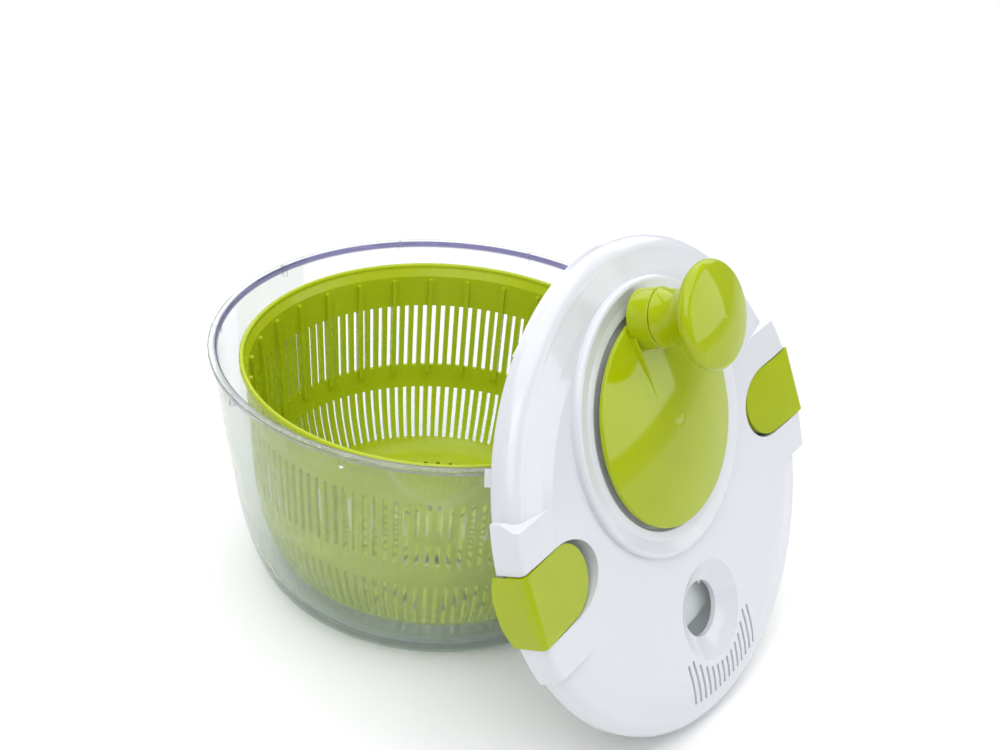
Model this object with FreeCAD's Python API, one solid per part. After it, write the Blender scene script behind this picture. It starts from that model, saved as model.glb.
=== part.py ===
import FreeCAD
import Part
import math
import os

# Hand-cranked salad spinner, millimetres, +Z up.
# Origin: centre of the bowl's foot ring on the table. The lid stands on its edge
# at the front right and leans on the bowl's rim. Lid pieces are drawn in the lid's
# own frame (X to the right-hand latch, Y towards the crank, Z out of its top face,
# Z = 0 on the plane that rests on the bowl's rim) and are then put in place.

V = FreeCAD.Vector

# Bowl
BOWL_H = 134.0
BOWL_RIM_R = 122.0
BOWL_RIM_IN_R = 117.6
BOWL_FLANGE_T = 2.6
BOWL_WALL_TOP_R = 119.6
BOWL_BASE_R = 84.5
BOWL_FLOOR_TOP = 3.4
BOWL_LUGS = 10
BOWL_LUG_PHASE = 32.3
BOSS_R = 7.0
BOSS_TOP = 11.0

# Pivot under the basket
PIN_R = 2.0
PIN_TOP = 17.0
CAP_R = 7.0
CAP_BOTTOM = 11.3
CAP_TOP = 19.0
RUN_GAP = 0.05

# Basket
BASKET_TOP = 126.5
BASKET_RIM_R = 106.3
BASKET_T = 2.0
BASKET_BOTTOM = 11.6
SLOTS = 120
SLOT_W = 2.4
UPPER_SLOT = (64.0, 102.0)
LOWER_SLOT = (20.0, 50.0)
RIBS = 30
RIB_W = 2.6
RIB_DEPTH = 2.0
RIB_Z = (60.0, 118.5)

# Lid
LID_R = 120.5
LID_T = 2.5
LID_TOP = 14.5
CRANK_Y = 36.0
RING_R = 67.0
RING_TOP = 18.2
WELL_R = 54.0
WELL_FLOOR = 14.0
LATCH_HALF_W = 17.5
LATCH_NOSE = 18.0
LATCH_R = 124.2
PAD_HALF_W = 37.0
PAD_R = 122.8
HOLE_Y = -69.0
HOLE_R = 14.0
DISH_R = 25.0
DISH_DEPTH = 9.0
SLITS = 14
SLIT_PITCH = 4.5
SLIT_W = 1.7

# Crank and knob
DISC_R = 52.5
DISC_RIM_Z = 21.0
DISC_TOP = 26.8
DISC_T = 2.4
SHAFT_R = 6.0
POST_OFFSET = 50.0
POST_R = 14.3
POST_BOTTOM = 21.6
POST_TOP = 33.1
FIN_POST_X = -14.0
FIN_TIP_X = -11.5
FIN_TIP_Y = 49.0
KNOB_BOTTOM = 33.4
KNOB_R = 25.3
KNOB_SEAM_Z = 58.6
KNOB_TOP = 66.3

# Gears, 25 degree teeth
MODULE = 1.5
GEAR_TEETH = 36
PINION_TEETH = 12
PRESSURE_DEG = 25.0
GEAR_Z = (5.6, 11.4)
BACKLASH = 0.22

# Drive plate
PLATE_Z = (-2.0, -0.3)
DRIVE_RING_R = 98.9
DRIVE_TOOTH_R = 100.5
DRIVE_TOOTH_LOW = -21.0
DRIVE_TEETH = 10
DRIVE_PHASE = 7.51
SPINDLE_R = 4.0
BALL_R = 2.0
BALL_Z = 11.75

# Latches
LATCH_PIN_X = 119.4
LATCH_PIN_Z = 7.0
LATCH_PIN_R = 1.5
LATCH_PIN_HALF = 20.3

# How the lid stands
LEAN_TILT = 67.04
LEAN_AZIMUTH = -36.0
LEAN_ROLL = 2.8
LEAN_SIDE = -9.0
LEAN_UNDERSIDE = 2.4


# ---------------------------------------------------------------- helpers

def wire_of(points):
    """Closed wire in the XZ plane from (r, z) points; a nested triple is an arc's middle."""
    edges = []
    count = len(points)
    flat = [p for p in points if len(p) == 2]
    index = 0
    while index < count:
        start = points[index]
        nxt = points[(index + 1) % count]
        if len(nxt) == 3:
            end = points[(index + 2) % count]
            edges.append(Part.Arc(V(start[0], 0, start[1]), V(nxt[0], 0, nxt[1]),
                                  V(end[0], 0, end[1])).toShape())
            index += 2
        else:
            if math.hypot(nxt[0] - start[0], nxt[1] - start[1]) > 1e-6:
                edges.append(Part.makeLine(V(start[0], 0, start[1]), V(nxt[0], 0, nxt[1])))
            index += 1
    if len(flat) < 2:
        raise ValueError("a profile needs two corners")
    return Part.Wire(edges)


def dome_point(r, edge_r, edge_z, top_z):
    """Point at radius r on the sphere through the axis at top_z and through the edge."""
    sag = top_z - edge_z
    radius = (edge_r ** 2 + sag ** 2) / (2 * abs(sag))
    drop = radius - math.sqrt(radius ** 2 - r ** 2)
    return (r, top_z - math.copysign(drop, sag), 0)


def turned(points, x=0.0, y=0.0):
    """Solid of revolution about the vertical line through (x, y)."""
    face = Part.Face(wire_of(points))
    solid = face.revolve(V(0, 0, 0), V(0, 0, 1), 360)
    solid.translate(V(x, y, 0))
    return solid


def cyl(radius, z0, z1, x=0.0, y=0.0):
    return Part.makeCylinder(radius, z1 - z0, V(x, y, z0))


def tube(outer, inner, z0, z1, x=0.0, y=0.0):
    return cyl(outer, z0, z1, x, y).cut(cyl(inner, z0 - 1, z1 + 1, x, y))


def box(x0, x1, y0, y1, z0, z1):
    return Part.makeBox(x1 - x0, y1 - y0, z1 - z0, V(x0, y0, z0))


def prism(points, z0, z1):
    """Upright prism from (x, y) corners."""
    corners = [V(px, py, z0) for px, py in points]
    face = Part.Face(Part.makePolygon(corners + [corners[0]]))
    return face.extrude(V(0, 0, z1 - z0))


def side_prism(points, y0, y1):
    """Prism along Y from (x, z) corners."""
    corners = [V(px, y0, pz) for px, pz in points]
    face = Part.Face(Part.makePolygon(corners + [corners[0]]))
    return face.extrude(V(0, y1 - y0, 0))


def hexagon(across, z0, z1, x=0.0, y=0.0):
    radius = across / math.sqrt(3.0)
    points = []
    for k in range(6):
        turn = math.radians(60 * k)
        points.append((x + radius * math.cos(turn), y + radius * math.sin(turn)))
    return prism(points, z0, z1)


def spun(shape, degrees, x=0.0, y=0.0):
    copy = shape.copy()
    copy.rotate(V(x, y, 0), V(0, 0, 1), degrees)
    return copy


def spline_body(outer, inner, closing_top, closing_bottom):
    """Turned shell whose outer and inner walls are smooth curves through (r, z) points."""
    curve_out = Part.BSplineCurve()
    curve_out.interpolate([V(r, 0, z) for r, z in outer])
    curve_in = Part.BSplineCurve()
    curve_in.interpolate([V(r, 0, z) for r, z in inner])
    edges = [curve_out.toShape()]
    chain = [outer[-1]] + closing_top + [inner[0]]
    for first, second in zip(chain, chain[1:]):
        edges.append(Part.makeLine(V(first[0], 0, first[1]), V(second[0], 0, second[1])))
    edges.append(curve_in.toShape())
    chain = [inner[-1]] + closing_bottom + [outer[0]]
    for first, second in zip(chain, chain[1:]):
        edges.append(Part.makeLine(V(first[0], 0, first[1]), V(second[0], 0, second[1])))
    face = Part.Face(Part.Wire(edges))
    return face.revolve(V(0, 0, 0), V(0, 0, 1), 360)


# ---------------------------------------------------------------- bowl side

def make_bowl():
    """Clear bowl: smooth wall, rim flange, foot ring, pivot boss and small lugs under the rim."""
    flange_low = BOWL_H - BOWL_FLANGE_T
    outer = [(BOWL_BASE_R, 0.0), (90.2, 2.0), (95.0, 7.6), (98.5, 14.6), (101.6, 23.3),
             (104.6, 34.4), (107.4, 47.6), (110.0, 62.6), (114.9, 93.5),
             (BOWL_WALL_TOP_R, flange_low)]
    inner = [(BOWL_RIM_IN_R - 0.5, flange_low), (112.4, 94.0), (107.5, 63.0), (104.9, 48.2),
             (102.1, 35.1), (99.1, 24.3), (95.9, 15.9), (92.3, 9.8), (87.4, 5.4),
             (80.0, BOWL_FLOOR_TOP)]
    top = [(BOWL_RIM_R - 0.6, flange_low), (BOWL_RIM_R, flange_low + 0.6),
           (BOWL_RIM_R, BOWL_H - 0.6), (BOWL_RIM_R - 0.6, BOWL_H),
           (BOWL_RIM_IN_R + 0.6, BOWL_H), (BOWL_RIM_IN_R, BOWL_H - 0.6)]
    bottom = [(30.0, BOWL_FLOOR_TOP), (24.0, 4.6), (BOSS_R, 4.6), (BOSS_R - 1.2, BOSS_TOP),
              (0.0, BOSS_TOP), (0.0, 1.4), (24.0, 1.4), (27.0, 0.9), (78.5, 0.9),
              (80.0, 0.0)]
    body = spline_body(outer, inner, top, bottom)
    lugs = []
    for k in range(BOWL_LUGS):
        lug = box(BOWL_WALL_TOP_R - 1.2, BOWL_RIM_R - 0.4, -1.0, 1.0, flange_low - 4.6,
                  flange_low + 0.3)
        lugs.append(spun(lug, BOWL_LUG_PHASE + 360.0 / BOWL_LUGS * k))
    body = body.fuse(lugs)
    return body.cut(cyl(PIN_R, 5.0, BOSS_TOP + 1))


def make_pivot_pin():
    """Steel pin pressed into the bowl's boss, with a chamfered tip."""
    return turned([(0, 5.0), (PIN_R, 5.0), (PIN_R, PIN_TOP - 0.8), (PIN_R - 0.8, PIN_TOP),
                   (0, PIN_TOP)])


def make_pivot_cap():
    """Plastic bearing cap that turns on the pin and carries the basket."""
    return turned([(PIN_R + RUN_GAP, CAP_BOTTOM), (CAP_R, CAP_BOTTOM),
                   (CAP_R, CAP_TOP - 1.0), (CAP_R - 1.0, CAP_TOP), (0, CAP_TOP),
                   (0, PIN_TOP + 0.1), (PIN_R + RUN_GAP, PIN_TOP + 0.1)])


def make_basket():
    """Strainer basket: rolled rim, drive ribs inside the top band, two slot rows, slotted floor."""
    t = BASKET_T
    z0 = BASKET_BOTTOM
    shell = turned([
        (0, z0 + 9.4), (9.6, z0 + 9.4), (11.0, z0 + 8.2), (13.5, z0 + t), (70.0, z0 + t),
        (81.4, z0 + 4.4, 0), (86.4, z0 + 9.6),
        (93.0, 38.0, 0), (96.3, 54.0),
        (101.5, BASKET_TOP - 6.5), (103.7, BASKET_TOP - 2.4), (103.9, BASKET_TOP - 0.6),
        (104.6, BASKET_TOP), (BASKET_RIM_R - 0.7, BASKET_TOP),
        (BASKET_RIM_R, BASKET_TOP - 0.7), (BASKET_RIM_R, BASKET_TOP - 2.6),
        (105.6, BASKET_TOP - 3.0), (103.5, BASKET_TOP - 7.0),
        (98.3, 54.0), (95.0, 37.4, 0), (88.2, z0 + 8.6),
        (82.4, z0 + 2.6, 0), (71.0, z0),
        (7.4, z0), (7.4, CAP_TOP + 0.1), (0, CAP_TOP + 0.1)])
    cutters = []
    for k in range(SLOTS):
        turn = 360.0 / SLOTS * (k + 0.5)
        cutters.append(spun(box(92.0, 106.0, -SLOT_W / 2, SLOT_W / 2, *UPPER_SLOT), turn))
        cutters.append(spun(box(80.0, 102.0, -SLOT_W / 2 + 0.1, SLOT_W / 2 - 0.1,
                                *LOWER_SLOT), turn))
    for k in range(60):
        turn = 6.0 * k
        cutters.append(spun(box(48.0, 70.0, -1.1, 1.1, z0 - 1, z0 + t + 1), turn))
        if k % 2 == 0:
            cutters.append(spun(box(20.0, 42.0, -1.1, 1.1, z0 - 1, z0 + t + 1), turn))
    shell = shell.cut(Part.makeCompound(cutters))
    low, high = RIB_Z
    half = RIB_W / 2
    bar = box(90.0, 104.0, -half, half, low, high - half)
    bar = bar.fuse(Part.makeCylinder(half, 14.0, V(90.0, 0, high - half), V(1, 0, 0)))
    wall_low = 96.3 + (low - 5.0 - 54.0) * 5.6 / (BASKET_TOP - 57.0)
    wall_high = 96.3 + (high + 5.0 - 54.0) * 5.6 / (BASKET_TOP - 57.0)
    bar = bar.common(side_prism([(wall_low + 0.3, low - 5.0), (wall_high + 0.3, high + 5.0),
                                 (wall_high - RIB_DEPTH, high + 5.0),
                                 (wall_low - RIB_DEPTH, low - 5.0)], -3, 3))
    ribs = [spun(bar, 360.0 / RIBS * k) for k in range(RIBS)]
    return shell.fuse(ribs)


# ---------------------------------------------------------------- lid pieces

def latch_plan(grow_side, grow_end, reach, z0, z1):
    """Upright prism of a latch's outline on the +X side: straight sides, half-oval inner end."""
    half = LATCH_HALF_W + grow_side
    centre = 95.0
    oval = Part.Ellipse(V(centre, 0, z0), LATCH_NOSE + grow_end, half)
    nose = Part.ArcOfEllipse(oval, math.pi / 2, 3 * math.pi / 2).toShape()
    corners = [V(centre, -half, z0), V(reach, -half, z0), V(reach, half, z0), V(centre, half, z0)]
    sides = [Part.makeLine(first, second) for first, second in zip(corners, corners[1:])]
    face = Part.Face(Part.Wire([nose] + sides))
    return face.extrude(V(0, 0, z1 - z0))


def make_lid_shell():
    """White lid: domed shell, crank well with raised ring, drain dish, vents and latch bays."""
    outer = turned([(0, 0), (LID_R, 0), (LID_R, 4.5), (118.4, 9.4, 0), (112.5, 12.0),
                    (103.0, 13.9), (96.0, LID_TOP), (0, LID_TOP)])
    belt = turned([(96.0, 6.0), (110.0, 6.0), (110.0, 0.0), (PAD_R, 0.0), (PAD_R, 12.2),
                   (PAD_R - 0.8, 14.1, 0), (PAD_R - 2.8, 14.9), (106.0, LID_TOP + 0.3),
                   (96.0, LID_TOP - 0.1)])
    low, high = PAD_HALF_W + 3.0, PAD_HALF_W - 1.5
    window = Part.Face(Part.makePolygon([
        V(90, -low, -1), V(90, low, -1), V(90, low, 6), V(90, high, 16), V(90, -high, 16),
        V(90, -low, 6), V(90, -low, -1)])).extrude(V(40, 0, 0))
    pads = [belt.common(window), belt.common(spun(window, 180))]
    ring = turned([(0, 10.0), (RING_R, 10.0), (RING_R, RING_TOP - 2.2),
                   (RING_R - 0.7, RING_TOP - 0.5, 0), (RING_R - 2.4, RING_TOP),
                   (RING_R - 5.0, RING_TOP - 0.7, 0), (RING_R - 8.0, RING_TOP - 1.3),
                   (WELL_R, RING_TOP - 1.1), (0, RING_TOP - 1.1)], 0, CRANK_Y)
    outer = outer.fuse(pads + [ring])

    inner = turned([(0, -1), (LID_R - LID_T, -1), (LID_R - LID_T, 4.0), (116.2, 7.6, 0),
                    (111.5, 9.6), (102.5, 11.4), (95.5, LID_TOP - LID_T),
                    (90.0, WELL_FLOOR - LID_T), (0, WELL_FLOOR - LID_T)])
    shell = outer.cut(inner)

    well = turned([(0, WELL_FLOOR), (WELL_R - 1.0, WELL_FLOOR), (WELL_R, WELL_FLOOR + 1.0),
                   (WELL_R, RING_TOP - 1.6), (WELL_R + 0.6, RING_TOP - 1.0), (WELL_R + 0.6, 30),
                   (0, 30)], 0, CRANK_Y)
    groove = tube(RING_R - 2.7, WELL_R + 2.5, 9.0, 15.0, 0, CRANK_Y)
    shell = shell.cut(well).cut(groove)

    sphere_r = (DISH_R ** 2 + DISH_DEPTH ** 2) / (2 * DISH_DEPTH)
    centre_z = LID_TOP + sphere_r - DISH_DEPTH
    under = Part.makeSphere(sphere_r + LID_T, V(0, HOLE_Y, centre_z))
    under = under.common(cyl(DISH_R + 4, 0.5, LID_TOP - 0.6, 0, HOLE_Y))
    dish = Part.makeSphere(sphere_r, V(0, HOLE_Y, centre_z))
    shell = shell.fuse(under).cut(dish).cut(cyl(HOLE_R, -1, 30, 0, HOLE_Y))

    for side in (1, -1):
        bay_out = latch_plan(3.0, 8.0, 121.0, 0.6, LID_TOP - 1.0)
        bay_out = bay_out.common(cyl(PAD_R, 0, 20))
        bay_in = latch_plan(0.7, 5.5, 130.0, 2.2, 30.0)
        if side < 0:
            bay_out = spun(bay_out, 180)
            bay_in = spun(bay_in, 180)
        shell = shell.fuse(bay_out).cut(bay_in)
        slot = box(108.0, 130.0, -LATCH_HALF_W - 0.7, LATCH_HALF_W + 0.7, -1.0, 3.5)
        slot = slot.cut(cyl(LID_R, -2.0, 5.0))
        if side < 0:
            slot = spun(slot, 180)
        pin_hole = Part.makeCylinder(LATCH_PIN_R, 2 * LATCH_PIN_HALF,
                                     V(side * LATCH_PIN_X, -LATCH_PIN_HALF, LATCH_PIN_Z),
                                     V(0, 1, 0))
        shell = shell.cut(slot).cut(pin_hole)

    locating = tube(116.4, 114.4, -4.0, 9.0)
    for side in (1, -1):
        gate = box(100, 130, -PAD_HALF_W, PAD_HALF_W, -5, 12)
        if side < 0:
            gate = spun(gate, 180)
        locating = locating.cut(gate)
    shell = shell.fuse(locating)

    wall = tube(33.5, 31.5, 2.6, WELL_FLOOR - LID_T + 0.1, 0, CRANK_Y)
    wall = wall.cut(cyl(15.0, 0, 20))
    little = tube(15.0, 13.0, 2.6, WELL_FLOOR - LID_T + 0.1)
    little = little.cut(cyl(31.5, 0, 20, 0, CRANK_Y))
    wall = wall.fuse(little)
    for x, y in screw_places():
        wall = wall.fuse(cyl(3.6, 2.6, WELL_FLOOR - LID_T + 0.1, x, y))
    wall = wall.cut(cyl(31.5, 0, 20, 0, CRANK_Y))
    shell = shell.fuse(wall)
    for x, y in screw_places():
        shell = shell.cut(cyl(1.25, 1.0, 10.0, x, y))
    shell = shell.cut(cyl(8.0, 5.0, 20.0, 0, CRANK_Y))
    shell = shell.cut(cyl(BALL_R + RUN_GAP, 5.0, BALL_Z + BALL_R + 0.05))

    slits = []
    for k in range(SLITS):
        x = (k - (SLITS - 1) / 2.0) * SLIT_PITCH
        low = -math.sqrt(109.5 ** 2 - x * x)
        high = HOLE_Y - math.sqrt(max(28.0 ** 2 - x * x, 14.5 ** 2))
        slits.append(box(x - SLIT_W / 2, x + SLIT_W / 2, low, high, 5.0, 20.0))
    return shell.cut(Part.makeCompound(slits))


def screw_places():
    """Four screws around the gear housing."""
    places = []
    for degrees in (20.0, 90.0, 160.0):
        turn = math.radians(degrees)
        places.append((36.5 * math.cos(turn), CRANK_Y + 36.5 * math.sin(turn)))
    places.append((0.0, -17.5))
    return places


def make_gear_cover():
    """Underside cover plate of the gear housing."""
    plate = cyl(40.5, 0.6, 2.6, 0, CRANK_Y).fuse(cyl(21.5, 0.6, 2.6))
    plate = plate.cut(cyl(6.0, 0, 5))
    for x, y in screw_places():
        plate = plate.cut(cyl(1.6, 0, 5, x, y))
        plate = plate.cut(Part.makeCone(3.0, 1.6, 1.4, V(x, y, 0.6)))
    return plate


def make_gear_cover_screws():
    """Four countersunk screws, all alike."""
    screws = []
    for x, y in screw_places():
        screw = turned([(0, 0.7), (2.7, 0.7), (1.5, 1.9), (1.25, 2.7), (1.25, 8.6), (0, 9.4)], x, y)
        slot = box(x - 1.8, x + 1.8, y - 0.35, y + 0.35, 0.5, 1.2)
        cross = box(x - 0.35, x + 0.35, y - 1.8, y + 1.8, 0.5, 1.2)
        screws.append(screw.cut(slot).cut(cross))
    return Part.makeCompound(screws)


def make_crank_bush():
    """Flanged bush pressed into the lid under the crank."""
    floor_low = WELL_FLOOR - LID_T
    return turned([(SHAFT_R + RUN_GAP, floor_low), (8.0, floor_low), (8.0, WELL_FLOOR),
                   (11.0, WELL_FLOOR), (11.0, WELL_FLOOR + 1.0),
                   (SHAFT_R + RUN_GAP, WELL_FLOOR + 1.0)], 0, CRANK_Y)


def make_drive_bush():
    """Flanged bush pressed into the gear cover around the drive spindle."""
    return turned([(SPINDLE_R + RUN_GAP, 0.6), (6.0, 0.6), (6.0, 2.6), (7.6, 2.6), (7.6, 3.4),
                   (SPINDLE_R + RUN_GAP, 3.4)])


def make_latch_pins():
    """The two steel hinge pins of the latches."""
    pins = []
    for side in (1, -1):
        pins.append(Part.makeCylinder(LATCH_PIN_R, 2 * LATCH_PIN_HALF,
                                      V(side * LATCH_PIN_X, -LATCH_PIN_HALF, LATCH_PIN_Z),
                                      V(0, 1, 0)))
    return Part.makeCompound(pins)


def make_latch(side):
    """Latch lever: sloping thumb plate, hinge barrel, outer grip and hook for the bowl's rim."""
    half = LATCH_HALF_W
    reach = LATCH_R
    section = Part.Face(wire_of([
        (70.0, 8.9), (70.0, 11.6), (118.4, 15.9), (122.2, 15.3, 0), (reach, 12.2),
        (reach, -4.4), (reach - 0.9, -5.3), (121.6, -5.3), (120.25, -4.1), (120.25, -3.1),
        (122.3, -2.9), (122.3, 12.7)]))
    body = section.extrude(V(0, 4 * half, 0))
    body.translate(V(0, -2 * half, 0))
    skirt = Part.makeCylinder(43.0, 30.0, V(110.0, 0, 37.9), V(1, 0, 0))
    skirt = skirt.fuse(box(60.0, 116.0, -30.0, 30.0, 0.0, 30.0))
    body = body.common(latch_plan(0.0, 0.0, 130.0, -10.0, 30.0)).common(cyl(reach, -10, 30))
    body = body.common(skirt)
    barrel = Part.makeCylinder(3.1, 2 * half, V(LATCH_PIN_X, -half, LATCH_PIN_Z), V(0, 1, 0))
    web = side_prism([(117.4, 6.8), (121.6, 6.8), (122.6, 13.0), (116.4, 13.0)], -half, half)
    latch = body.fuse([barrel, web])
    bore = Part.makeCylinder(LATCH_PIN_R + RUN_GAP, 60, V(LATCH_PIN_X, -30, LATCH_PIN_Z),
                             V(0, 1, 0))
    latch = latch.cut(bore)
    if side < 0:
        latch = spun(latch, 180)
    return latch


# ---------------------------------------------------------------- crank and knob

def make_crank_disc():
    """Green crank: domed disc with a hub and shaft below, knob post at its edge and a thin fin."""
    edge = DISC_R - 0.5
    under_edge = DISC_R - 2.0
    under_top = DISC_TOP - DISC_T
    under_rim = DISC_RIM_Z - DISC_T
    hub_r = 10.5
    hub_high = dome_point(hub_r, under_edge, under_rim, under_top)
    disc = turned([(0, 15.1), (hub_r, 15.1), hub_high[:2],
                   dome_point(32.0, under_edge, under_rim, under_top), (under_edge, under_rim),
                   (DISC_R - 0.4, under_rim), (DISC_R, under_rim + 0.4),
                   (DISC_R, DISC_RIM_Z - 0.5), (edge, DISC_RIM_Z),
                   dome_point(25.0, edge, DISC_RIM_Z, DISC_TOP), (0, DISC_TOP)], 0, CRANK_Y)
    shaft = cyl(SHAFT_R, GEAR_Z[1], 15.5, 0, CRANK_Y)
    key = hexagon(9.0, GEAR_Z[0], GEAR_Z[1], 0, CRANK_Y)
    post_y = CRANK_Y + POST_OFFSET
    post = turned([(0, POST_BOTTOM), (POST_R - 0.5, POST_BOTTOM), (POST_R, POST_BOTTOM + 0.5),
                   (POST_R, POST_TOP - 0.5), (POST_R - 0.5, POST_TOP), (0, POST_TOP)],
                  0, post_y)
    root = []
    for dx, z in ((-1.2, 20.0), (-0.7, 24.8), (0.0, 25.3), (0.7, 24.8), (1.2, 20.0)):
        root.append(V(FIN_POST_X + dx, post_y - 4.0, z))
    tip = []
    for dx, z in ((-0.15, 24.2), (-0.1, 26.1), (0.0, 26.2), (0.1, 26.1), (0.15, 24.2)):
        tip.append(V(FIN_TIP_X + dx, FIN_TIP_Y, z))
    fin = Part.makeLoft([Part.makePolygon(root + root[:1]), Part.makePolygon(tip + tip[:1])],
                        True, True)
    crank = disc.fuse([shaft, key, post, fin])
    crank = crank.cut(cyl(2.5, 23.5, POST_TOP + 1, 0, post_y))
    return crank.cut(cyl(1.5, GEAR_Z[0] - 1, 14.0, 0, CRANK_Y))


def involute_points(base_r, outer_r, steps):
    """Radius and roll angle along one tooth flank."""
    result = []
    top = math.sqrt((outer_r / base_r) ** 2 - 1)
    for k in range(steps + 1):
        t = top * k / steps
        result.append((base_r * math.sqrt(1 + t * t), t - math.atan(t)))
    return result


def gear_blank(teeth, phase, z0, z1):
    """Spur gear with involute flanks; phase turns it, in degrees."""
    pitch_r = MODULE * teeth / 2.0
    base_r = pitch_r * math.cos(math.radians(PRESSURE_DEG))
    outer_r = pitch_r + 0.82 * MODULE
    root_r = pitch_r - 1.12 * MODULE
    alpha = math.radians(PRESSURE_DEG)
    half_tooth = (math.pi * pitch_r / teeth - BACKLASH) / (2 * pitch_r)
    pitch_roll = math.tan(alpha) - alpha
    flank = [p for p in involute_points(base_r, outer_r, 4)]
    points = []
    for k in range(teeth):
        centre = 2 * math.pi * k / teeth + math.radians(phase)
        low_angle = half_tooth + pitch_roll
        points.append((root_r, centre - low_angle))
        for radius, roll in flank:
            if radius > root_r:
                points.append((radius, centre - (half_tooth + pitch_roll - roll)))
        for radius, roll in reversed(flank):
            if radius > root_r:
                points.append((radius, centre + (half_tooth + pitch_roll - roll)))
        points.append((root_r, centre + low_angle))
    corners = [(r * math.cos(a), r * math.sin(a)) for r, a in points]
    return prism(corners, z0, z1)


def make_crank_gear():
    """Drive gear keyed on the crank's hexagonal shaft end."""
    gear = gear_blank(GEAR_TEETH, -90.0, *GEAR_Z)
    gear.translate(V(0, CRANK_Y, 0))
    pockets = []
    for k in range(6):
        pocket = cyl(3.6, GEAR_Z[0] - 1, GEAR_Z[1] + 1, 15.0, CRANK_Y)
        pockets.append(spun(pocket, 60 * k + 30, 0, CRANK_Y))
    gear = gear.cut(Part.makeCompound(pockets))
    return gear.cut(hexagon(9.0, GEAR_Z[0] - 1, GEAR_Z[1] + 1, 0, CRANK_Y))


def make_crank_washer():
    return tube(8.0, 1.6, GEAR_Z[0] - 0.7, GEAR_Z[0], 0, CRANK_Y)


def make_crank_screw():
    """Screw up the crank shaft that holds the gear on."""
    top = GEAR_Z[0] - 0.7
    screw = turned([(0, top - 1.2), (2.9, top - 1.2), (3.2, top - 0.8), (3.2, top), (1.5, top),
                    (1.5, 13.4), (0, 13.9)], 0, CRANK_Y)
    slot = box(-2.2, 2.2, CRANK_Y - 0.35, CRANK_Y + 0.35, top - 2, top - 0.7)
    cross = box(-0.35, 0.35, CRANK_Y - 2.2, CRANK_Y + 2.2, top - 2, top - 0.7)
    return screw.cut(slot).cut(cross)


def make_knob_screw():
    """Shoulder screw that the knob turns on, screwed into the crank's post."""
    post_y = CRANK_Y + POST_OFFSET
    return turned([(0, 24.0), (2.5, 24.0), (2.5, POST_TOP), (3.5, POST_TOP),
                   (3.5, 45.0), (6.0, 45.0), (6.0, 47.6), (5.2, 48.4), (2.4, 48.4), (2.0, 47.0),
                   (0, 47.0)], 0, post_y)


def make_knob_body():
    """Flared knob body with a bore for its shoulder screw and a hollow head."""
    post_y = CRANK_Y + POST_OFFSET
    return turned([(3.5 + RUN_GAP, KNOB_BOTTOM), (13.6, KNOB_BOTTOM), (14.1, KNOB_BOTTOM + 0.5),
                   (13.2, 39.5, 0), (13.6, 44.5), (16.7, 50.4, 0), (22.2, 54.9),
                   (24.5, 56.6, 0), (KNOB_R, KNOB_SEAM_Z - 0.3), (KNOB_R - 0.3, KNOB_SEAM_Z),
                   (22.9, KNOB_SEAM_Z), (21.6, 56.6), (14.6, 51.4, 0), (9.0, 44.7),
                   (3.5 + RUN_GAP, 44.7)], 0, post_y)


def make_knob_cap():
    """Domed cap over the whole head of the knob, snapped in by its inner skirt."""
    post_y = CRANK_Y + POST_OFFSET
    dome_edge = (22.0, 63.0)
    inner_edge = (20.2, 61.0)
    return turned([(KNOB_R - 0.3, KNOB_SEAM_Z), (KNOB_R, KNOB_SEAM_Z + 0.3),
                   (24.6, 61.4, 0), dome_edge,
                   dome_point(11.0, *dome_edge, KNOB_TOP), (0, KNOB_TOP), (0, KNOB_TOP - 2.2),
                   dome_point(10.0, *inner_edge, KNOB_TOP - 2.2), inner_edge, (20.2, 57.4),
                   (21.6, 57.4), (22.2, KNOB_SEAM_Z)], 0, post_y)


# ---------------------------------------------------------------- drive pieces

def make_drive_pinion():
    """Pinion with its spindle, hexagonal drive end and thrust pocket for the ball."""
    gear = gear_blank(PINION_TEETH, 90.0 + 180.0 / PINION_TEETH, *GEAR_Z)
    spindle = cyl(SPINDLE_R, PLATE_Z[1], GEAR_Z[0])
    collar = cyl(5.5, 3.5, GEAR_Z[0])
    key = hexagon(6.0, PLATE_Z[0], PLATE_Z[1])
    body = gear.fuse([spindle, collar, key])
    body = body.cut(cyl(BALL_R + RUN_GAP, BALL_Z - BALL_R - 0.05, 20))
    return body.cut(cyl(1.25, -5.0, 6.0))


def make_drive_plate():
    """Clear drive plate: flat centre, sloping step, and a toothed ring that turns the basket."""
    low, high = PLATE_Z
    plate = turned([(0, low), (77.0, low), (84.5, -9.6), (DRIVE_RING_R, -9.6),
                    (DRIVE_RING_R, -8.0), (85.5, -8.0), (78.0, high), (0, high)])
    hub = cyl(8.0, low - 1.4, low)
    plate = plate.fuse(hub)
    teeth = []
    for k in range(DRIVE_TEETH):
        tooth = tube(DRIVE_TOOTH_R, DRIVE_RING_R - 2.6, DRIVE_TOOTH_LOW, -8.0)
        half = math.radians(2.4)
        wedge = prism([(80.0, -80.0 * math.tan(half)), (110.0, -110.0 * math.tan(half)),
                       (110.0, 110.0 * math.tan(half)), (80.0, 80.0 * math.tan(half))],
                      DRIVE_TOOTH_LOW - 1.0, -7.0)
        teeth.append(spun(tooth.common(wedge), 360.0 / DRIVE_TEETH * k + DRIVE_PHASE))
    plate = plate.fuse(teeth)
    windows = []
    for k in range(12):
        window = box(34.0, 66.0, -2.0, 2.0, low - 3, high + 1)
        window = window.fuse([cyl(2.0, low - 3, high + 1, 34.0, 0),
                              cyl(2.0, low - 3, high + 1, 66.0, 0)])
        windows.append(spun(window, 30.0 * k + 15.0))
    plate = plate.cut(Part.makeCompound(windows))
    plate = plate.cut(hexagon(6.0, low, high + 1))
    return plate.cut(cyl(1.6, low - 3, high))


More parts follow.
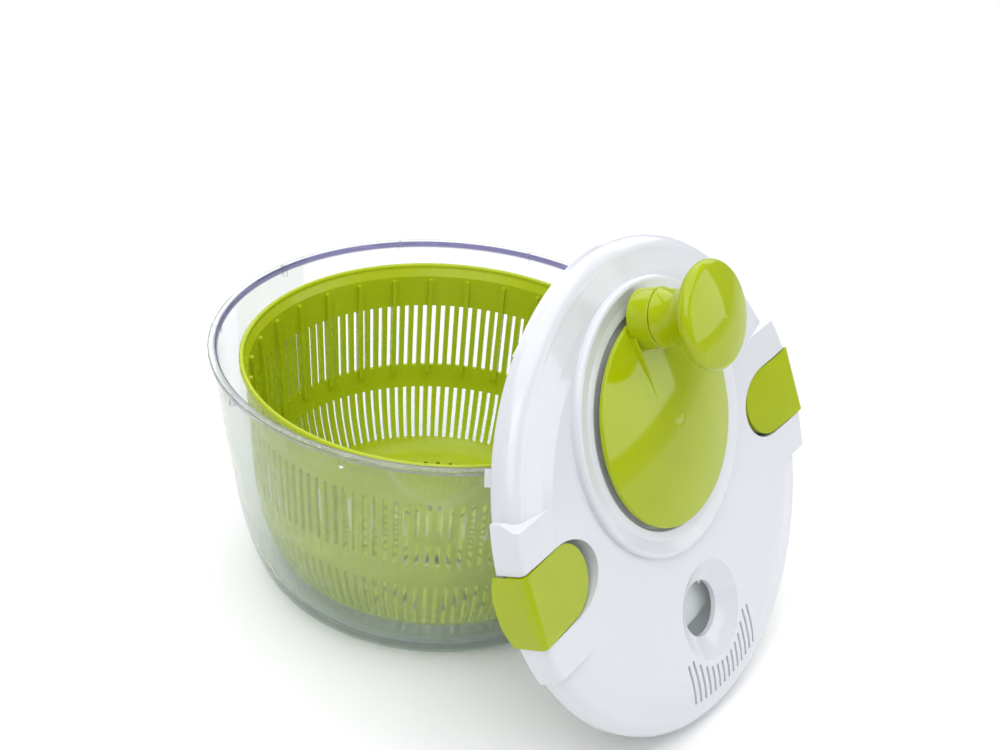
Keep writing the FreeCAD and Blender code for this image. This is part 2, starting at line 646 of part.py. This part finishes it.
def make_drive_plate_screw():
    """Screw up the spindle that holds the drive plate."""
    head_top = PLATE_Z[0] - 1.4
    screw = turned([(0, head_top - 1.3), (2.9, head_top - 1.3), (3.3, head_top - 0.9),
                    (3.3, head_top), (1.25, head_top), (1.25, 5.4), (0, 5.9)])
    slot = box(-2.2, 2.2, -0.35, 0.35, head_top - 2, head_top - 0.7)
    cross = box(-0.35, 0.35, -2.2, 2.2, head_top - 2, head_top - 0.7)
    return screw.cut(slot).cut(cross)


def make_thrust_ball():
    return Part.makeSphere(BALL_R, V(0, 0, BALL_Z))


# ---------------------------------------------------------------- placing the lid

def lean_placement():
    """Pose of the standing lid: on the table, its underside just clear of the bowl's rim."""
    tilt = math.radians(LEAN_TILT)
    azimuth = math.radians(LEAN_AZIMUTH)
    roll = math.radians(LEAN_ROLL)
    out = V(math.cos(azimuth), math.sin(azimuth), 0)
    across = V(-math.sin(azimuth), math.cos(azimuth), 0)
    normal = out * math.sin(tilt) + V(0, 0, math.cos(tilt))
    downhill = out * math.cos(tilt) - V(0, 0, math.sin(tilt))
    y_axis = (downhill * math.cos(roll) + across * math.sin(roll)) * -1.0
    x_axis = y_axis.cross(normal)
    height = LID_R * math.sin(tilt)
    reach = BOWL_RIM_R * math.sin(tilt) + BOWL_H * math.cos(tilt) + LEAN_UNDERSIDE + 0.3
    along = (reach - height * math.cos(tilt)) / math.sin(tilt)
    centre = out * along + across * LEAN_SIDE + V(0, 0, height)
    turn = FreeCAD.Rotation(x_axis, y_axis, normal, "ZXY")
    return FreeCAD.Placement(centre, turn)


def main():
    os.makedirs("parts", exist_ok=True)
    lean = lean_placement()
    fixed = {
        "outer_bowl": make_bowl(),
        "pivot_pin": make_pivot_pin(),
        "pivot_cap": make_pivot_cap(),
        "basket": make_basket(),
    }
    leaning = {
        "lid_shell": make_lid_shell(),
        "gear_cover": make_gear_cover(),
        "gear_cover_screws": make_gear_cover_screws(),
        "crank_bush": make_crank_bush(),
        "drive_bush": make_drive_bush(),
        "latch_pins": make_latch_pins(),
        "latch_right": make_latch(1),
        "latch_left": make_latch(-1),
        "crank_disc": make_crank_disc(),
        "crank_gear": make_crank_gear(),
        "crank_washer": make_crank_washer(),
        "crank_screw": make_crank_screw(),
        "knob_screw": make_knob_screw(),
        "knob_body": make_knob_body(),
        "knob_cap": make_knob_cap(),
        "drive_pinion": make_drive_pinion(),
        "drive_plate": make_drive_plate(),
        "drive_plate_screw": make_drive_plate_screw(),
        "thrust_ball": make_thrust_ball(),
    }
    for name, shape in fixed.items():
        shape.exportStep("parts/" + name + ".step")
    for name, shape in leaning.items():
        placed = shape.copy()
        placed.Placement = lean.multiply(placed.Placement)
        placed.exportStep("parts/" + name + ".step")
    for name, shape in list(fixed.items()) + list(leaning.items()):
        print(name, len(shape.Solids), shape.isValid(), round(shape.Volume / 1000.0, 2), "cm3")
    print("lid centre", lean.Base, "rotation", lean.Rotation.Q)


main()
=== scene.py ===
"""Looks of the salad spinner: camera, studio and a procedural material for every piece.

Lengths are metres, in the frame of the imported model. Colours are linear.
"""
import math

import bpy
from mathutils import Matrix, Vector


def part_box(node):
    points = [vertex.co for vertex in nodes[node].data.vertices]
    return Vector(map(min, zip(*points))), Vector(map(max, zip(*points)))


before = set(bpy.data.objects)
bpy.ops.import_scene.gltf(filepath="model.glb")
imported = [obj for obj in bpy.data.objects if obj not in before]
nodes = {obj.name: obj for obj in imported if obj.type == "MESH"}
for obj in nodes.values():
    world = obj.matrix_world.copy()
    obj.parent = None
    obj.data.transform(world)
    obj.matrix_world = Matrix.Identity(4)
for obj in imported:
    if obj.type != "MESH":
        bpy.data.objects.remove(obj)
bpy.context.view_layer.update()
scene = bpy.context.scene

# ---------------------------------------------------------------- camera

CAMERA_BACK = 0.7715
CAMERA_HEIGHT = 0.5643
PITCH, YAW, ROLL = 0.526, 0.0383, 0.081
LENS_MM = 61.2


def make_camera():
    """Camera in front of the bowl, looking down on it, turned and rolled a little."""
    level = math.cos(PITCH)
    forward = Vector((math.sin(YAW) * level, math.cos(YAW) * level, -math.sin(PITCH)))
    right = Vector((math.cos(YAW), -math.sin(YAW), 0.0))
    up = right.cross(forward)
    across = right * math.cos(ROLL) + up * math.sin(ROLL)
    above = up * math.cos(ROLL) - right * math.sin(ROLL)
    turn = Matrix((across, above, -forward)).transposed().to_4x4()
    data = bpy.data.cameras.new("camera")
    data.lens = LENS_MM
    data.sensor_width = 36.0
    data.clip_start = 0.05
    camera = bpy.data.objects.new("camera", data)
    camera.matrix_world = Matrix.Translation((0.0, -CAMERA_BACK, CAMERA_HEIGHT)) @ turn
    scene.collection.objects.link(camera)
    scene.camera = camera


# ---------------------------------------------------------------- studio

FLOOR_HALF = 6.0
FLOOR_COLOUR = (0.985, 0.985, 0.985, 1.0)
SKY_COLOUR = (0.93, 0.95, 1.0, 1.0)
SKY_STRENGTH = 0.28

# Each soft box: where it stands, the point it faces, its width and height, its radiance.
# The right one is placed from the middle of the lid.
RIGHT_BOX = ((1.30, -0.14, 0.42), (0.0, 0.0, 0.05), (1.15, 0.75), 1.8)
TOP_BOX = ((-0.12, -0.05, 1.15), (0.0, 0.0, 0.08), (1.6, 1.5), 1.7)
FRONT_BOX = ((-0.15, -1.15, 1.2), (0.0, 0.0, 0.08), (1.3, 0.9), 1.9)
BACK_BOX = ((0.0, 2.6, 1.5), (0.0, 2.3, 0.0), (5.0, 2.4), 1.5)


def soft_box(name, at, towards, size, radiance):
    """Rectangular soft light whose face has that radiance, seen by surfaces only."""
    data = bpy.data.lights.new(name, "AREA")
    data.shape = "RECTANGLE"
    data.size, data.size_y = size
    data.energy = radiance * math.pi * size[0] * size[1]
    lamp = bpy.data.objects.new(name, data)
    look = (Vector(towards) - Vector(at)).normalized()
    lamp.matrix_world = Matrix.Translation(at) @ look.to_track_quat("-Z", "Y").to_matrix().to_4x4()
    lamp.visible_camera = False
    scene.collection.objects.link(lamp)


def make_studio():
    """Even sky, four soft boxes and a plain pale floor."""
    scene.view_settings.view_transform = "Standard"
    world = bpy.data.worlds.new("studio")
    scene.world = world
    world.use_nodes = True
    sky = world.node_tree.nodes["Background"]
    sky.inputs["Color"].default_value = SKY_COLOUR
    sky.inputs["Strength"].default_value = SKY_STRENGTH

    lid_low, lid_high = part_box("lid_shell")
    middle = (lid_low + lid_high) / 2
    at, towards, size, radiance = RIGHT_BOX
    soft_box("box_right", middle + Vector(at), middle + Vector(towards), size, radiance)
    soft_box("box_top", *TOP_BOX)
    soft_box("box_front", *FRONT_BOX)
    soft_box("box_back", *BACK_BOX)

    mesh = bpy.data.meshes.new("floor")
    h = FLOOR_HALF
    mesh.from_pydata([(-h, -h, 0.0), (h, -h, 0.0), (h, h, 0.0), (-h, h, 0.0)], [], [(0, 1, 2, 3)])
    floor = bpy.data.objects.new("floor", mesh)
    scene.collection.objects.link(floor)
    floor.data.materials.append(floor_paper())


# ---------------------------------------------------------------- materials

class Paint:
    """Node tree of one procedural material."""

    def __init__(self, name):
        self.material = bpy.data.materials.new(name)
        self.material.use_nodes = True
        self.tree = self.material.node_tree
        self.shader = self.tree.nodes["Principled BSDF"]
        self.output = self.tree.nodes["Material Output"]
        self.place = self.node("ShaderNodeTexCoord").outputs["Object"]

    def node(self, kind, **values):
        made = self.tree.nodes.new(kind)
        for key, value in values.items():
            setattr(made, key, value)
        return made

    def link(self, source, target):
        self.tree.links.new(source, target)

    def put(self, **values):
        """Uniform values, straight on the shader's own sockets."""
        for key, value in values.items():
            self.shader.inputs[key.replace("_", " ")].default_value = value

    def noise(self, scale, detail=2.0, rough=0.5, stretch=None):
        made = self.node("ShaderNodeTexNoise")
        made.inputs["Scale"].default_value = scale
        made.inputs["Detail"].default_value = detail
        made.inputs["Roughness"].default_value = rough
        source = self.place
        if stretch:
            mapping = self.node("ShaderNodeMapping")
            mapping.inputs["Scale"].default_value = stretch
            self.link(source, mapping.inputs["Vector"])
            source = mapping.outputs["Vector"]
        self.link(source, made.inputs["Vector"])
        return made.outputs["Fac"]

    def spread(self, source, low, high, start=0.3, end=0.7):
        """source between start and end becomes low to high."""
        made = self.node("ShaderNodeMapRange")
        self.link(source, made.inputs["Value"])
        made.inputs["From Min"].default_value = start
        made.inputs["From Max"].default_value = end
        made.inputs["To Min"].default_value = low
        made.inputs["To Max"].default_value = high
        return made.outputs["Result"]

    def ramp(self, source, stops):
        """Colour of source along stops of (position, colour)."""
        made = self.node("ShaderNodeValToRGB")
        elements = made.color_ramp.elements
        while len(elements) < len(stops):
            elements.new(0.5)
        for element, (at, colour) in zip(elements, stops):
            element.position = at
            element.color = (*colour, 1.0)
        self.link(source, made.inputs["Fac"])
        return made.outputs["Color"]

    def bump(self, source, strength, distance):
        made = self.node("ShaderNodeBump")
        made.inputs["Strength"].default_value = strength
        made.inputs["Distance"].default_value = distance
        self.link(source, made.inputs["Height"])
        self.link(made.outputs["Normal"], self.shader.inputs["Normal"])


# Stops of each material's flow clouds, or of the bowl's colour by height with painted shade
# towards its base: (position, colour).
BOWL_TINT_AND_BASE_SHADE = [
    (0.0, (0.78, 0.84, 0.81)),
    (0.06, (0.83, 0.88, 0.86)),
    (0.2, (0.90, 0.93, 0.935)),
    (1.0, (0.92, 0.935, 0.95)),
]
LIME = [(0.3, (0.365, 0.450, 0.002)), (0.7, (0.405, 0.495, 0.004))]
NET_LIME = [(0.3, (0.42, 0.515, 0.008)), (0.7, (0.47, 0.565, 0.012))]
WHITE = [(0.3, (0.70, 0.715, 0.755)), (0.7, (0.73, 0.745, 0.785))]
FROST = [(0.3, (0.82, 0.87, 0.86)), (0.7, (0.87, 0.91, 0.90))]
ACETAL = [(0.3, (0.78, 0.77, 0.72)), (0.7, (0.85, 0.84, 0.80))]
STEEL = [(0.3, (0.50, 0.50, 0.51)), (0.7, (0.66, 0.66, 0.67))]

# Painted shade along the rim's inner edge, an indigo dark line: full inside the first radius, none
# past the second, and only from the first drop below the top of the bowl, full by the second.
RIM_PAINTED_SHADE = (0.065, 0.055, 0.17, 1.0)
RIM_SHADE_BAND = (0.1182, 0.1190)
RIM_SHADE_DROP = (0.0034, 0.0024)
STRAIGHT_THROUGH = 0.26
SHADOW_TINT = (0.93, 0.95, 0.96, 1.0)


def floor_paper():
    paint = Paint("studio_floor")
    paint.put(Base_Color=FLOOR_COLOUR, Roughness=0.7, Specular_IOR_Level=0.15)
    return paint.material


def gloss_plastic(name, stops, roughness, flow_scale=26.0, peel=0.018):
    """Moulded plastic: faint flow clouds, fine orange peel and a little handling haze."""
    paint = Paint(name)
    clouds = paint.ramp(paint.noise(flow_scale, 3.0, 0.55), stops)
    paint.link(clouds, paint.shader.inputs["Base Color"])
    haze = paint.noise(140.0, 4.0, 0.6)
    paint.link(paint.spread(haze, roughness[0], roughness[1]), paint.shader.inputs["Roughness"])
    paint.bump(paint.noise(900.0, 1.0), peel, 0.0004)
    return paint


def clear_plastic():
    """Clear styrene, with painted shade: darker and greener towards the base, and an indigo dark
    line along the rim's inner edge.
    """
    paint = Paint("clear_plastic")
    split = paint.node("ShaderNodeSeparateXYZ")
    paint.link(paint.place, split.inputs[0])
    low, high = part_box("outer_bowl")
    # painted shade: the bowl's colour darker and greener towards its base, by height
    tint_and_base_shade = paint.ramp(paint.spread(split.outputs["Z"], 0.0, 1.0, low.z, high.z), BOWL_TINT_AND_BASE_SHADE)
    flat = paint.node("ShaderNodeCombineXYZ")
    paint.link(split.outputs["X"], flat.inputs[0])
    paint.link(split.outputs["Y"], flat.inputs[1])
    radius = paint.node("ShaderNodeVectorMath", operation="LENGTH")
    paint.link(flat.outputs[0], radius.inputs[0])
    # painted shade: an indigo dark line along the rim's inner edge, masked by radius and height
    near = paint.spread(radius.outputs["Value"], 1.0, 0.0, *RIM_SHADE_BAND)
    rim_from, rim_full = (high.z - drop for drop in RIM_SHADE_DROP)
    upper = paint.spread(split.outputs["Z"], 0.0, 1.0, rim_from, rim_full)
    edge = paint.node("ShaderNodeMath", operation="MULTIPLY")
    paint.link(near, edge.inputs[0])
    paint.link(upper, edge.inputs[1])
    blend = paint.node("ShaderNodeMix", data_type="RGBA")
    paint.link(edge.outputs[0], blend.inputs["Factor"])
    paint.link(tint_and_base_shade, blend.inputs[6])
    blend.inputs[7].default_value = RIM_PAINTED_SHADE
    paint.link(blend.outputs[2], paint.shader.inputs["Base Color"])
    paint.put(Transmission_Weight=1.0, IOR=1.49)
    paint.link(paint.spread(paint.noise(60.0, 3.0), 0.0, 0.035), paint.shader.inputs["Roughness"])
    paint.bump(paint.noise(45.0, 1.0), 0.02, 0.001)
    straight = paint.node("ShaderNodeBsdfTransparent")
    paint.link(blend.outputs[2], straight.inputs["Color"])
    body = paint.node("ShaderNodeMixShader")
    body.inputs["Fac"].default_value = STRAIGHT_THROUGH
    paint.link(paint.shader.outputs[0], body.inputs[1])
    paint.link(straight.outputs[0], body.inputs[2])
    through = paint.node("ShaderNodeBsdfTransparent")
    through.inputs["Color"].default_value = SHADOW_TINT
    mix = paint.node("ShaderNodeMixShader")
    rays = paint.node("ShaderNodeLightPath")
    paint.link(rays.outputs["Is Shadow Ray"], mix.inputs["Fac"])
    paint.link(body.outputs[0], mix.inputs[1])
    paint.link(through.outputs[0], mix.inputs[2])
    paint.link(mix.outputs[0], paint.output.inputs["Surface"])
    return paint.material


def frosted_plastic():
    """Milky plastic of the drive plate, faintly see-through."""
    paint = gloss_plastic("frosted_plastic", FROST, (0.38, 0.5))
    paint.put(Transmission_Weight=0.15)
    return paint.material


def steel():
    """Satin steel with fine turning grain."""
    paint = Paint("satin_steel")
    paint.put(Metallic=1.0)
    grain = paint.noise(500.0, 3.0, 0.6, stretch=(1.0, 1.0, 8.0))
    paint.link(paint.ramp(grain, STEEL), paint.shader.inputs["Base Color"])
    paint.link(paint.spread(grain, 0.22, 0.38), paint.shader.inputs["Roughness"])
    paint.bump(grain, 0.05, 0.0002)
    return paint.material


def paint_nodes():
    """Gives every CAD node its material."""
    lime = gloss_plastic("lime_gloss", LIME, (0.05, 0.10))
    lime.put(Specular_IOR_Level=0.38)
    net = gloss_plastic("lime_satin", NET_LIME, (0.20, 0.32), 18.0, 0.03)
    net.put(Specular_IOR_Level=0.3)
    white = gloss_plastic("white_gloss", WHITE, (0.07, 0.13), 12.0, 0.012)
    looks = {
        "lime": lime.material,
        "net": net.material,
        "white": white.material,
        "clear": clear_plastic(),
        "frosted": frosted_plastic(),
        "acetal": gloss_plastic("white_acetal", ACETAL, (0.36, 0.48)).material,
        "steel": steel(),
    }
    wears = {
        "clear": ["outer_bowl"],
        "net": ["basket"],
        "white": ["lid_shell", "gear_cover"],
        "lime": ["crank_disc", "knob_body", "knob_cap", "latch_right", "latch_left"],
        "frosted": ["drive_plate"],
        "acetal": ["pivot_cap", "crank_bush", "drive_bush", "crank_gear", "drive_pinion"],
        "steel": ["pivot_pin", "gear_cover_screws", "latch_pins", "crank_washer", "crank_screw",
                  "knob_screw", "drive_plate_screw", "thrust_ball"],
    }
    for look, names in wears.items():
        for name in names:
            slots = nodes[name].data.materials
            slots.clear()
            slots.append(looks[look])


make_camera()
make_studio()
paint_nodes()
